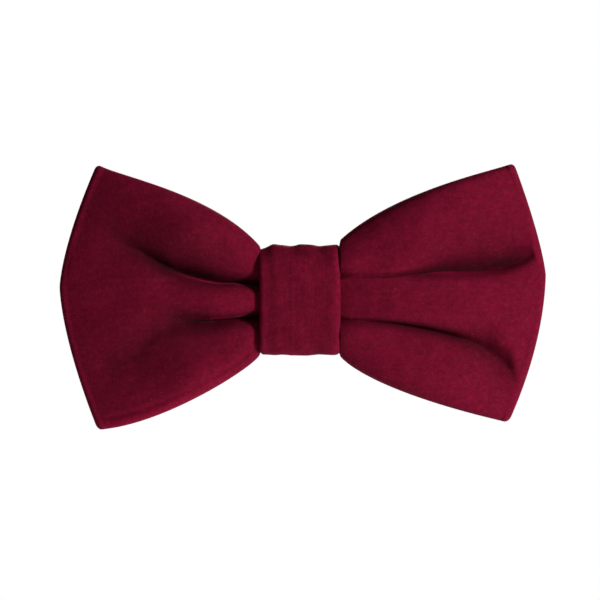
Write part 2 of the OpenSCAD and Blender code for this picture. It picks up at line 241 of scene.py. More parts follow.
class Wing:
    """One loop of the bow. Edges are cubics from the knot outward, as (|x|, z)."""

    def __init__(self, side, top, bottom, bulge, folds, press, seed):
        self.side, self.seed = side, seed
        t = np.linspace(0, 1, 60)[:, None]
        self.edges = []  # upper and lower
        for p in (top, bottom):
            p = np.array(p, float)
            near = (1 - t) ** 3 * p[0] + 3 * (1 - t) ** 2 * t * p[1]
            self.edges.append(near + 3 * (1 - t) * t * t * p[2] + t**3 * p[3])
        self.corner = (top[3][0], bottom[3][0])
        self.bulge = bulge
        self.folds = folds
        self.press = press

    def edge_z(self, which, q):
        """Height of the upper (0) or lower (1) edge at a share q of the way from waist to corner."""
        e = self.edges[which]
        x = WAIST_X + q * (self.corner[0] - WAIST_X)
        past = np.maximum(0, x - e[0, 0] + THROAT_IN) / THROAT
        narrow = (1 - WAIST_HALF / abs(e[0, 1])) * np.exp(-(past**2))
        return np.interp(x, e[:, 0], e[:, 1]) * (1 - narrow)

    def outer_x(self, v):
        """Where the outer edge is at a share v of the height, -1 to 1."""
        out, centre, power_top, power_bottom = self.bulge
        away = np.where(v > centre, (v - centre) / (1 - centre), (centre - v) / (1 + centre))
        power = np.where(v > centre, power_top, power_bottom)
        chord = self.corner[1] + (self.corner[0] - self.corner[1]) * (v + 1) / 2
        return chord + out * (1 - np.minimum(1, away) ** power)

    def puffed(self, x, z, v, t, from_top, from_bottom):
        """Height of the front leaf's middle over the bow's mid-plane, before folds."""
        out = 1 - np.exp(-np.maximum(t, 0) / self.press["rise"])
        flare = self.press["puff"] * (1 - t**FLARE_POWER)
        h = FOLD_MID + WAIST_PUFF * (1 - out) * (1 - 0.3 * np.abs(v) ** 6) + flare * out
        clear = ease((x - KNOT_X + 1.6) / 1.6)
        for bulge_x, bulge_z, wide, tall, height in self.press["bulges"]:
            h = h + height * clear * np.exp(-(((x - bulge_x) / wide) ** 2) - ((z - bulge_z) / tall) ** 2)
        for from_edge, key in ((from_top, "top_roll"), (from_bottom, "bottom_roll")):
            width = smooth_at(x, *self.press[key]["width"])
            drop = smooth_at(x, *self.press[key]["drop"])
            c = unit(1 - from_edge / width)
            h = h - drop * (1 - np.sqrt(np.maximum(0, 1 - c * c)))
        return h

    def folded(self, h, x, z, t):
        """The height with the folds pressed in, the lean of their lips in z, and the painted shade in and
        beside the folds.
        """
        lean, light = np.zeros_like(h), np.ones_like(h)
        fade = 1 - unit((t - FADE_FROM) / (1 - FADE_FROM)) ** 2
        for f in self.folds:
            e = (z - smooth_at(x, *f["route"])) * f["soft_side"]
            for key in ("narrow", "broad", "shade"):
                soft, hard = at(x, *f[key]["soft"]), at(x, *f[key]["hard"])
                side = np.where(e > 0, (np.maximum(e, 0) / soft) ** 1.2, (e / hard) ** 2)
                dip = np.exp(-side) * fade * at(x, *f[key]["depth"])
                # The shade band is painted shade along the fold and presses nothing in.
                if key == "shade":
                    light = light * (1 - dip)
                else:
                    h = h - dip
                if key == "narrow":
                    sharp = unit(1.3 / soft)
                    light = light * (1 - CREASE_PAINTED_SHADE * unit(dip / 3) ** 1.5 * sharp)
            # Painted shade on the crease's steep side.
            soft, hard = at(x, *f["narrow"]["soft"]), at(x, *f["narrow"]["hard"])
            steep = unit(at(x, *f["narrow"]["depth"]) / 2.5) * unit(2.4 - soft)
            light = light * (1 - WALL_PAINTED_SHADE * steep * bell(e + 0.7 * hard, hard))
            lean = lean + f["soft_side"] * at(x, *f["lean"]) * bell(e + 1.3 * hard, 0.9 * hard)
        return h, lean, light

    def front(self, x, z, v, t, from_top, from_bottom):
        """Height of the front leaf's middle over the bow's mid-plane, its lean in z, and the painted light
        and shade on its pile.
        """
        h, lean, light = self.folded(self.puffed(x, z, v, t, from_top, from_bottom), x, z, t)
        for line in self.press["lines"]:
            e = z - smooth_at(x, *line["route"]) if "route" in line else from_bottom - line["inset"]
            h = h - at(x, *line["depth"]) * bell(e, line["width"])
        # Painted highlights and painted shade, in bands.
        for tone in self.press["painted_light_bands"]:
            e = z - smooth_at(x, *tone["route"]) if "route" in tone else from_bottom - tone["inset"]
            light = light + at(x, *tone["light"]) * bell(e, tone["width"])
        calm = unit(t * 6) * unit((1 - t) * 5)
        h = h + 0.13 * ripples(x, z, self.seed, 9, 2.2) * calm
        h = h + 0.04 * ripples(x, z, self.seed + 1, 3.2, 1.6) * calm
        # The front leaf never sinks into the back one.
        floor = 0.95 - 5 * t * (1 - t)
        h = np.where(h < floor + 0.5, floor + 0.5 * np.exp((h - floor - 0.5) / 0.5), h)
        return h, lean, light - 1

    def back(self, x, z, v, t):
        """How far the back leaf's middle is behind the bow's mid-plane."""
        swell = t**0.8 * (1 - t) / 0.31
        h = FOLD_MID + 1.3 * (1 - t) ** 2 + 1.9 * swell * (1 - 0.4 * v * v)
        gather = 0.8 * bell(t, 0.3) * unit(t * 14)
        h = h - gather * (0.5 + 0.5 * np.cos(z * 0.95 + 0.6))
        return h + 0.12 * ripples(x, z, self.seed + 2, 8, 2.0) * unit(t * 6) * (1 - t)

    @staticmethod
    def spread(s, q_knot, q_fold):
        """Place outward from the waist: s is -1 at the waist, 0 at the knot's side and 1 at the fold."""
        return q_knot * (1 + s) if s < 0 else q_knot + (q_fold - q_knot) * s

    def skin(self, thick, inset, rows, across, roll):
        """Points of a layer this thick, whose edges stop this far inside the loop's own."""
        in_knot, front, turn, back = rows
        places = [("front", s) for s in -np.linspace(1, 0, in_knot, endpoint=False)]
        places += [("front", s) for s in np.linspace(0, 1, front) ** LEAF_SPACING]
        places += [("turn", s) for s in np.linspace(0, 1, turn + 2)[1:-1]]
        places += [("back", s) for s in np.linspace(1, 0, back) ** LEAF_SPACING]
        places += [("back", s) for s in -np.linspace(0, 1, in_knot + 1)[1:]]
        share, edge_out, edge_up = strip_section(across, roll)
        lift = edge_up * thick / 2
        points = np.zeros((len(places), len(share), 3))
        pile_and_painted_light = np.zeros(points.shape[:2])
        q_row = (KNOT_X - WAIST_X) / (self.corner[0] - WAIST_X)
        for i, (leaf, s) in enumerate(places):
            rough = 1.0 if leaf == "turn" else self.spread(s, q_row, 1.0)
            half = (self.edge_z(0, rough) - self.edge_z(1, rough)) / 2
            tip = thick / 2 / half
            v = share * (1 - tip - inset / half) + edge_out * tip
            span = self.outer_x(v) - WAIST_X
            q_knot = (KNOT_X - WAIST_X) / span
            q_fold = 1 - FOLD_X / span
            if leaf == "turn":
                angle = math.pi * s
                blunt = self.press["edge"] if s < 0.5 else BACK_BLUNT
                reach = (FOLD_MID + lift) * FOLD_X / FOLD_R / span
                q = q_fold + reach * math.sin(angle) ** blunt
            else:
                q = self.spread(s, q_knot, q_fold)
            x = WAIST_X + q * span
            top, bottom = self.edge_z(0, q), self.edge_z(1, q)
            z = bottom + (top - bottom) * (v + 1) / 2
            t = unit((q - q_knot) / (q_fold - q_knot))
            if leaf == "front":
                h, lean, pile_and_painted_light[i] = self.front(x, z, v, t, top - z, z - bottom)
                h = h + lift
                z = z + lean
            elif leaf == "turn":
                c = math.cos(angle)
                h = (FOLD_MID + lift) * math.copysign(abs(c) ** blunt, c)
            else:
                h = -self.back(x, z, v, t) - lift
            points[i] = np.stack([self.side * x, MID_Y - h, z], axis=1)
        return points, pile_and_painted_light

    def build(self, name, material):
        """The velvet tube with the hollow that its core fills."""
        across, roll = 270, 7
        outer, pile_and_painted_light = self.skin(LEAF_T, 0, SKIN_ROWS, across, roll)
        inner, inner_pile_and_painted_light = self.skin(CORE_T + CORE_EASE, HOLLOW_INSET, HOLLOW_ROWS, across, roll)
        cols = outer.shape[1]
        n = outer.shape[0] * cols
        verts = np.concatenate([outer.reshape(-1, 3), inner.reshape(-1, 3)])
        quads = [
            grid_quads(outer.shape[0], cols),
            grid_quads(inner.shape[0], cols, start=n)[:, ::-1],
            rim_quads(0, n, cols),
            rim_quads(n - cols, len(verts) - cols, cols)[:, ::-1],
        ]
        pile_and_painted_light = np.concatenate([pile_and_painted_light.ravel(), inner_pile_and_painted_light.ravel()])
        return make_object(name, outward(verts, np.concatenate(quads)), material, pile_and_painted_light)

    def core(self, name, material):
        points, _ = self.skin(CORE_T, CORE_INSET, CORE_ROWS, 150, 3)
        return make_object(name, capped(*points.shape[:2], points.reshape(-1, 3)), material)


# A fold's route is (|x|, z). Its widths and depths run along it, as (|x|, mm): the soft side is the
# gentle slope and the hard side the steep one. "shade" is painted shade along the fold and presses nothing
# in.
# Bulges are (|x|, z, width, height, how far out). Lines are thin grooves, and painted light bands are
# painted highlights where their light is above 0 and painted shade where it is below. Both follow a route or
# lie this far inside the lower edge.
LEFT_UPPER = dict(
    soft_side=1,
    route=[
        (6, 4), (12, 4.1), (16, 4.3), (21, 4.6), (26, 5.8), (32, 8), (36, 10.2), (40, 12.4), (46, 15),
    ],
    narrow=dict(
        depth=[
            (6, 2.4), (12, 3), (16, 3.8), (21, 5), (28, 4.8), (34, 3.4), (40, 1.8), (46, 0.6), (50, 0),
        ],
        soft=[(6, 1.4), (12, 1.4), (21, 1.4), (26, 1.9), (32, 1.7), (44, 2.2)],
        hard=[(6, 1.4), (12, 1), (16, 0.7), (26, 1), (34, 1.6), (40, 2.2), (47, 3.4)],
    ),
    broad=dict(
        depth=[(6, 0.6), (12, 1), (20, 2.2), (30, 2.4), (38, 1.4), (52, 0)],
        soft=[(10, 3), (20, 7), (32, 8), (44, 6)],
        hard=[(10, 2), (20, 2), (32, 4), (46, 6)],
    ),
    shade=dict(
        depth=[(6, 0.3), (12, 0.25), (16, 0.4), (21, 0.62), (32, 0.55), (40, 0.42), (46, 0.24), (53, 0)],
        soft=[(12, 2.5), (21, 8), (26, 10), (32, 10), (40, 5), (48, 6)],
        hard=[(12, 1.5), (21, 1.8), (26, 3.2), (32, 4.4), (44, 3.5)],
    ),
    lean=[(12, 0), (16, 0.5), (30, 0.4), (36, 0)],
)
LEFT_LOWER = dict(
    soft_side=-1,
    route=[
        (6, -4.2), (12, -4.3), (16, -4.5), (21, -4.9), (26, -5.2), (32, -6.4), (36, -9), (40, -13),
        (46, -16.5),
    ],
    narrow=dict(
        depth=[(6, 2.4), (12, 3), (16, 3.8), (21, 4.6), (25, 3), (29, 1.2), (34, 0)],
        soft=[(6, 1.4), (12, 1.4), (16, 1), (21, 1.2), (26, 1.6), (33, 2)],
        hard=[(6, 1.4), (12, 1), (16, 0.6), (22, 0.7), (28, 1.2), (33, 2.4)],
    ),
    broad=dict(
        depth=[(6, 0.6), (12, 0.8), (20, 1.6), (26, 2.2), (32, 2), (40, 1.2), (54, 0)],
        soft=[(10, 2.5), (20, 5), (30, 6.5), (47, 6)],
        hard=[(10, 1.5), (20, 2), (28, 4), (36, 6), (47, 7)],
    ),
    shade=dict(
        depth=[(6, 0.3), (12, 0.25), (16, 0.45), (21, 0.66), (26, 0.64), (32, 0.52), (40, 0.42), (50, 0)],
        soft=[(12, 2.5), (21, 4.5), (28, 7), (36, 6), (44, 4)],
        hard=[(12, 1.5), (21, 1.5), (28, 3.6), (36, 7), (44, 8)],
    ),
    lean=[(12, 0), (15, 0.3), (22, 0.3), (26, 0)],
)
LEFT_PRESS = dict(
    rise=0.2,
    puff=5.6,
    edge=0.55,
    bulges=[(29, 16, 9, 6, 2.2), (27, -18, 9, 6, 1.7), (57, 8.5, 5, 4, 0.4)],
    top_roll=dict(
        width=[(6, 6.5), (12, 7), (22, 8), (34, 6), (50, 3), (60, 2.5)],
        drop=[(6, 0.6), (10, 0.8), (14, 2.4), (20, 3.4), (34, 2), (50, 0.8), (60, 0.5)],
    ),
    bottom_roll=dict(
        width=[(6, 6.5), (12, 6.5), (22, 6), (34, 4.5), (50, 2.6), (60, 2.5)],
        drop=[(6, 0.6), (10, 0.8), (14, 2.2), (20, 2.6), (34, 1.4), (50, 0.7), (60, 0.5)],
    ),
    lines=[
        dict(
            route=[(6, 4.6), (34, 4.7), (60, 4.4)],
            depth=[(18, 0), (23, 0.2), (36, 0.15), (46, 0.1), (50, 0)],
            width=0.5,
        ),
        dict(inset=2.6, depth=[(10, 0), (14, 0.4), (46, 0.35), (50, 0)], width=0.7),
    ],
    painted_light_bands=[
        # Painted highlight along the middle lobe's top lip.
        dict(
            route=[(6, 4.6), (34, 4.7), (60, 4.4)],
            light=[(18, 0), (24, 0.12), (40, 0.16), (50, 0)],
            width=0.35,
        ),
        # Painted shade on the outer parts of the top and bottom lobes.
        dict(route=[(6, 19), (60, 19)], light=[(38, 0), (44, -0.11), (50, -0.1), (54, 0)], width=9),
        dict(route=[(6, -19), (60, -19)], light=[(41, 0), (45, -0.12), (50, -0.1), (54, 0)], width=8),
        # Painted highlight along the lower rolled edge.
        dict(inset=1.1, light=[(14, 0), (24, 0.3), (48, 0.5), (50, 0.3)], width=1.1),
    ],
)
LEFT = Wing(
    side=-1,
    top=[(9.9, 13.3), (21.6, 26.8), (46.4, 30.7), (50.1, 33.6)],
    bottom=[(9.9, -13.3), (9.8, -15.5), (33.3, -30.8), (49.9, -32)],
    bulge=(9.3, 0.07, 1.45, 1.5),
    folds=[LEFT_UPPER, LEFT_LOWER],
    press=LEFT_PRESS,
    seed=11,
)
RIGHT_UPPER = dict(
    soft_side=1,
    route=[
        (6, 6), (12, 6.1), (24, 6.1), (30, 6.6), (36, 7.4), (42, 7.7), (48, 8.5), (54, 10.3), (58, 11.6),
    ],
    narrow=dict(
        depth=[
            (6, 2), (10, 1.2), (14, 0.6), (22, 1.2), (28, 2.6), (34, 3.2), (44, 3), (52, 2.6),
            (58, 1.6),
        ],
        soft=[(6, 1.2), (12, 0.6), (22, 0.5), (28, 0.8), (34, 2), (42, 2.4), (52, 2.2), (58, 1.6)],
        hard=[(6, 1), (12, 0.4), (24, 0.45), (30, 0.5), (36, 0.9), (44, 1), (54, 1.2), (58, 1.2)],
    ),
    broad=dict(
        depth=[(6, 0), (22, 0), (30, 1.6), (38, 3.4), (50, 3.4), (58, 2)],
        soft=[(20, 2), (34, 5), (44, 6), (54, 4.5)],
        hard=[(20, 1), (36, 1.6), (46, 2.2), (56, 2.4)],
    ),
    shade=dict(
        depth=[(20, 0.05), (27, 0.4), (34, 0.55), (46, 0.6), (56, 0.6)],
        soft=[(20, 0.6), (27, 1), (34, 4), (44, 5.5), (50, 4.5), (58, 3)],
        hard=[(24, 0.8), (34, 1.5), (44, 2), (58, 2)],
    ),
    lean=[(20, 0), (26, 0.5), (32, 0.4), (38, 0)],
)
RIGHT_LOWER = dict(
    soft_side=-1,
    route=[
        (6, -5), (12, -5.1), (20, -5.4), (27, -6.2), (33, -7.4), (39, -9.2), (44, -11.3), (49, -14.9),
        (52, -18), (53.5, -21),
    ],
    narrow=dict(
        depth=[
            (6, 2), (10, 1.4), (14, 1.2), (20, 2.6), (26, 3.6), (36, 3.4), (44, 2.2), (50, 0.9),
            (54, 0.2), (56, 0),
        ],
        soft=[(6, 1.4), (12, 0.6), (20, 0.8), (28, 1.3), (38, 1.8), (46, 3.2), (56, 3)],
        hard=[(6, 1.2), (12, 0.5), (26, 0.7), (34, 1), (42, 1.5), (48, 3), (56, 3)],
    ),
    broad=dict(
        depth=[(6, 0), (20, 0.3), (30, 0.8), (40, 1.6), (46, 2.4), (51, 1.8), (55, 0.5), (57, 0)],
        soft=[(20, 2), (34, 3), (46, 5.5), (57, 5)],
        hard=[(20, 1), (36, 2), (46, 4.5), (57, 4)],
    ),
    shade=dict(
        depth=[(12, 0.15), (20, 0.3), (34, 0.35), (44, 0.45), (52, 0.4), (56, 0)],
        soft=[(12, 1), (34, 2), (46, 5.5), (54, 5)],
        hard=[(12, 1), (34, 1.5), (46, 4.5), (54, 4)],
    ),
    lean=[(14, 0), (20, 0.3), (34, 0.6), (42, 0.2), (46, 0)],
)
RIGHT_PRESS = dict(
    rise=0.2,
    puff=5.6,
    edge=0.95,
    bulges=[(10, 9.2, 6, 3.5, 1.7), (10, -8.8, 6, 3.2, 1.8)],
    top_roll=dict(
        width=[(6, 6.5), (12, 8.5), (22, 10), (34, 7.5), (50, 3.5), (60, 2.5)],
        drop=[(6, 0.6), (10, 1.2), (14, 3.4), (22, 4.4), (34, 2.8), (50, 0.8), (60, 0.5)],
    ),
    bottom_roll=dict(
        width=[(6, 6.5), (12, 6.5), (22, 7), (34, 5), (50, 3), (60, 2.5)],
        drop=[(6, 0.6), (10, 0.9), (14, 2.4), (22, 2.8), (34, 1.8), (50, 0.7), (60, 0.5)],
    ),
    lines=[],
    painted_light_bands=[
        # Painted highlight along the line above the upper fold.
        dict(
            route=[(6, 5.5), (24, 6.2), (60, 6.2)],
            light=[(9, 0.35), (20, 0.3), (26, 0)],
            width=0.3,
        ),
    ],
)
RIGHT = Wing(
    side=1,
    top=[(9.9, 14.8), (22.8, 26.7), (46.4, 31.5), (52.8, 33.8)],
    bottom=[(9.9, -13.8), (11.0, -15.1), (17.8, -22.2), (51.6, -30)],
    bulge=(8.4, 0.13, 1.3, 1.85),
    folds=[RIGHT_UPPER, RIGHT_LOWER],
    press=RIGHT_PRESS,
    seed=31,
)


# ---- knot ----
KNOT_T = 2.0
KNOT_RADII = (5.2, 3.4, 4.2)  # front top, front bottom and neck side
KNOT_STEP = 0.35  # between points round the knot
LINING_T = 0.5
LAP_Z = -3.2  # where the strip's ends lap on the neck side


def knot_outline():
    """A closed rounded rectangle in the YZ plane, as points and outward normals."""
    y0, y1, half = KNOT_LO[1], KNOT_HI[1], KNOT_HI[2] - 0.1
    r_top, r_bottom, r_back = KNOT_RADII
    corners = [
        (y0 + r_top, half - r_top, r_top, 90),
        (y0 + r_bottom, -half + r_bottom, r_bottom, 180),
        (y1 - r_back, -half + r_back, r_back, 270),
        (y1 - r_back, half - r_back, r_back, 0),
    ]
    pts, normals = [], []
    for i, (cy, cz, r, start) in enumerate(corners):
        for a in np.radians(np.linspace(start, start + 90, max(6, int(r * 1.6 / KNOT_STEP)))):
            n = (math.cos(a), math.sin(a))
            pts.append((cy + r * n[0], cz + r * n[1]))
            normals.append(n)
        next_y, next_z, next_r, _ = corners[(i + 1) % 4]
        n = normals[-1]
        end = np.array((next_y + next_r * n[0], next_z + next_r * n[1]))
        here = np.array(pts[-1])
        count = int(np.linalg.norm(end - here) / KNOT_STEP)
        for k in range(1, count):
            pts.append(tuple(here + (end - here) * k / count))
            normals.append(n)
    return np.array(pts), np.array(normals)


def knot(name, material):
    """The strip of velvet wrapped round the middle, a little gathered."""
    pts, normals = knot_outline()
    r = KNOT_T / 2
    mid = pts - normals * r
    share, edge_out, edge_up = strip_section(across=90, roll=10)
    y, z = mid[:, :1], mid[:, 1:]
    ny, nz = normals[:, :1], normals[:, 1:]
    on_front, on_neck_side, on_top = unit(-ny), unit(ny), unit(nz)
    up = z / KNOT_HI[2]
    right = KNOT_X - (0.9 * unit(up) ** 2 + 0.5 * unit(-up) ** 2) * on_front
    left = -KNOT_X + 0.1
    x = (right + left) / 2 + ((right - left) / 2 - r) * share + r * edge_out
    path = np.arange(len(pts))[:, None] * KNOT_STEP
    wander = 0.25 * np.sin(path / 9) + 0.1 * np.sin(path / 3.7)

    # Folds that run round the knot, then the step and the fall at its two edges.
    crease = 0.05 * bell(x + 2.1 - wander, 0.5) - 0.06 * bell(x - 3.6 - wander, 2.0)
    edge_x = -6.8 - 1.0 * unit(up) ** 2
    step = 0.22 + 0.25 * unit(0.5 + up * 0.5) ** 2
    crease -= step * (0.5 - 0.5 * np.tanh((x - edge_x - wander) / 0.9))
    crease -= 0.45 * unit((x - 7.6) / 2.4) ** 2

    # Waves along the top.
    scallop = 0.2 * np.cos((x - 1.5) * 2 * math.pi / 7.6) + 0.05 * np.cos((x - 3) * 1.9)
    scallop -= 0.35 * unit((-x - 6.5) / 3) ** 2
    outer = unit(edge_up)
    lift = r * edge_up + outer * (crease * (1 - on_neck_side) + scallop * on_top)
    lift += outer * 0.12 * ripples(x, path, 5, 6.0, 1.0) * (1 - on_neck_side)
    lift -= outer * 0.35 * bell(z - LAP_Z, 0.28) * on_neck_side
    verts = np.stack([x, y + ny * lift, z + nz * lift], axis=2)

    # Painted shade along the creases near both edges and painted highlights on the rolled edges, on the
    # front; also darker along the bottom towards the right, and a little darker all over.
    pile_and_painted_light = -0.05 - 0.12 * unit(-up * 6 - 4.6) * unit(x / 4 + 0.5)
    for where, width, light in ((-7.0, 1.0, -0.09), (7.0, 0.7, -0.07), (8.7, 0.7, 0.14), (-9.0, 0.6, 0.08)):
        pile_and_painted_light = pile_and_painted_light + light * bell(x - where - wander / 2, width) * on_front
    shape = outward(verts.reshape(-1, 3), grid_quads(*x.shape, wrap=True))
    return make_object(name, shape, material, np.broadcast_to(pile_and_painted_light, x.shape))


def knot_lining(name, material):
    """The woven strip inside the knot's velvet."""
    pts, normals = knot_outline()
    half_t, half_w = LINING_T / 2, KNOT_X - 1.9
    corners = np.array([(-half_w, half_t), (half_w, half_t), (half_w, -half_t), (-half_w, -half_t)])
    mid = pts - normals * (KNOT_T / 2 + half_t)
    ring = mid[:, None, :] + normals[:, None, :] * corners[None, :, 1:]
    x = np.broadcast_to(corners[None, :, :1], ring.shape[:2] + (1,))
    verts = np.concatenate([x, ring], axis=2)
    return make_object(name, outward(verts.reshape(-1, 3), grid_quads(len(pts), 4, wrap=True)), material)


# ---- waist and thread ----
WAIST_SQUARE = 3.2  # power of the waist's oval outline: 2 is an ellipse, more is squarer
WAIST_INSET = 0.35
PINCH = 0.95  # how far the thread draws the waist in
GATHERS = 18


def waist_oval(a, inset):
    """(y, z) at an angle on the waist's outline, this far inside the CAD's."""
    c, s = np.cos(a), np.sin(a)
    depth, half = (WAIST_HI[1] - WAIST_LO[1]) / 2 - inset, WAIST_HALF - inset
    y = (WAIST_HI[1] + WAIST_LO[1]) / 2 + depth * np.sign(c) * np.abs(c) ** (2 / WAIST_SQUARE)
    z = half * np.sign(s) * np.abs(s) ** (2 / WAIST_SQUARE)
    return y, z


def waist(name, material):
    """The gathered cloth under the knot: a corrugated bunch, pinched where it is whipped."""
    rows, cols = 60, 260
    x = np.linspace(-WAIST_X + 0.05, WAIST_X - 0.05, rows)[:, None]
    a = np.linspace(0, 2 * math.pi, cols, endpoint=False)[None, :]
    pinch = PINCH * np.exp(-((x / 3.6) ** 6))
    gathers = 0.3 * np.cos(GATHERS * a + 0.4 * np.sin(x)) * (1 - 0.4 * np.exp(-((x / 4) ** 4)))
    y, z = waist_oval(a, pinch + WAIST_INSET - gathers)
    verts = np.stack([x + 0 * a, y, z], axis=2).reshape(-1, 3)
    return make_object(name, capped(rows, cols, verts), material)


def tube(points, radius, sides=8):
    """A round thread along a line of points."""
    p = np.asarray(points, float)
    along = np.gradient(p, axis=0)
    along /= np.linalg.norm(along, axis=1, keepdims=True)
    normal = np.cross(along[0], (0.0, 0.0, 1.0) if abs(along[0][2]) < 0.9 else (1.0, 0.0, 0.0))
    a = 2 * math.pi * np.arange(sides)[:, None] / sides
    r = np.broadcast_to(radius, len(p))
    rings = []
    for i, tangent in enumerate(along):
        normal = normal - tangent * (normal @ tangent)
        normal /= np.linalg.norm(normal)
        rings.append(p[i] + r[i] * (np.cos(a) * normal + np.sin(a) * np.cross(tangent, normal)))
    return capped(len(p), sides, np.concatenate(rings))


def whipping(name, material, turns=7, pitch=0.62):
    """One thread wound round the pinched waist."""
    a = np.linspace(0, 2 * math.pi * turns, 64 * turns)
    x = (a / (2 * math.pi) - turns / 2) * pitch
    y, z = waist_oval(a, PINCH + 0.1)
    return make_object(name, tube(np.stack([x, y, z], axis=1), 0.3), material)


def stitch(a, b, out, r, rise):
    """One stitch from a to b that dives into the cloth at both ends. out is the way off the cloth."""
    a, b, out = (np.asarray(k, float) for k in (a, b, out))
    t = np.linspace(0, 1, 9)[:, None]
    line = a + (b - a) * t + out * (rise * np.sin(math.pi * t) ** 0.6 - 0.12)
    taper = r * (0.55 + 0.45 * np.sin(math.pi * t[:, 0]) ** 0.5)
    return tube(line, taper, sides=6)


# ---- straps ----
STRAP_STEP = 0.7  # between points along a strap
SEAM = 1.15  # from the band's edge to its line of stitches
STITCH_PITCH = 2.6
STITCH_LENGTH = 1.9
FIRST_STITCH = 0.4


def polar(deg, r):
    """Points of the XY plane at angles on the band."""
    a = np.radians(deg)
    return np.stack([r * np.sin(a), -r * np.cos(a)], axis=-1)


def arc(first, last, count, r):
    return polar(np.linspace(first, last, count), r)


def local(deg, points):
    """Points given as (tangent, outward distance) at an angle on the band, in the XY plane."""
    p = np.asarray(points, float)
    a = math.radians(deg)
    along, out = np.array([math.cos(a), math.sin(a)]), np.array([math.sin(a), -math.cos(a)])
    return p[:, :1] * along + p[:, 1:] * out


def upright_row(spot, deg, pitch, half, r, rise):
    """Seven upright stitches over one spot of the XY plane, on cloth that faces this angle."""
    out = (*polar(deg, 1.0), 0)
    return [stitch((*spot, pitch * i - half), (*spot, pitch * i + half), out, r, rise) for i in range(-3, 4)]


def resample(route, step):
    """The route with its points this far apart, and how far along it each is."""
    route = np.asarray(route, float)
    d = np.concatenate([[0], np.cumsum(np.linalg.norm(np.diff(route, axis=0), axis=1))])
    s = np.linspace(0, d[-1], max(3, int(d[-1] / step) + 1))
    return np.stack([np.interp(s, d, route[:, k]) for k in (0, 1)], axis=1), s


def soften(route, passes=2):
    """Takes the corners out of a route and keeps its ends."""
    for _ in range(passes):
        inner = (route[:-2] + 2 * route[1:-1] + route[2:]) / 4
        route = np.concatenate([route[:1], inner, route[-1:]])
    return route


def edge_stitches(p, n, length):
    """Stitches along both edges, on both faces. p is the strap's middle line and n its normals."""
    last = len(p) - 1
    stitches = []
    for i in range(int(length / STITCH_PITCH)):
        start = i * STITCH_PITCH + FIRST_STITCH
        places = (start, start + STITCH_LENGTH / 2, start + STITCH_LENGTH)
        a, mid, b = (min(last, int(round(k / length * last))) for k in places)
        for z in (BAND_HALF - SEAM, SEAM - BAND_HALF):
            for face in (1, -1):
                off = face * (BAND_T / 2 - 0.05)
                ends = [(*(p[j] + n[j] * off), z) for j in (a, b)]
                stitches.append(stitch(*ends, (*(n[mid] * face), 0), r=0.13, rise=0.14))
    return stitches


def strap(name, route, seed):
    """A doubled strip of satin along a route in the XY plane, with a stitched edge each side."""
    p, s = resample(soften(resample(route, STRAP_STEP)[0]), STRAP_STEP)
    d = np.gradient(p, axis=0)
    d /= np.linalg.norm(d, axis=1, keepdims=True)
    n = np.stack([-d[:, 1], d[:, 0]], axis=1)
    r = BAND_T / 2
    share, edge_out, edge_up = strip_section(across=34, roll=4)
    z = (BAND_HALF - r) * share + r * edge_out
    groove = 0.09 * bell(np.abs(z) - BAND_HALF + SEAM, 0.3)
    pillow = 0.05 * bell(np.abs(z) - BAND_HALF + 0.5, 0.35)
    lift = edge_up * (r - groove + pillow)
    sway = 0.07 * ripples(s[:, None], z[None, :], seed, 13, 1.4)
    ends = unit(np.minimum(s, s[-1] - s) / 3)[:, None]
    xy = p[:, None, :] + n[:, None, :] * (lift + sway * ends)[:, :, None]
    verts = np.concatenate([xy, np.broadcast_to(z[None, :, None], xy.shape[:2] + (1,))], axis=2)
    cloth = capped(len(p), len(share), verts.reshape(-1, 3))
    shape = join_parts([cloth] + edge_stitches(p, n, s[-1]))
    obj = make_object(name, shape, SATIN)
    obj.data.materials.append(THREAD)
    # The faces are the cloth's quads, the stitches' quads, the cloth's two ends and the stitches' ends.
    is_thread = np.ones(len(obj.data.polygons), np.int32)
    is_thread[: len(cloth[1])] = 0
    is_thread[len(shape[1]) : len(shape[1]) + 2] = 0
    obj.data.polygons.foreach_set("material_index", is_thread)
    return obj


# ---- materials ----
def add_node(nt, kind, inputs, result=0, **settings):
    """A new node's output. Its inputs are values or other nodes' outputs."""
    n = nt.nodes.new("ShaderNode" + kind)
    for name, value in settings.items():
        setattr(n, name, value)
    for name, value in inputs.items():
        if isinstance(value, bpy.types.NodeSocket):
            nt.links.new(value, n.inputs[name])
        else:
            n.inputs[name].default_value = value
    return n.outputs[result]


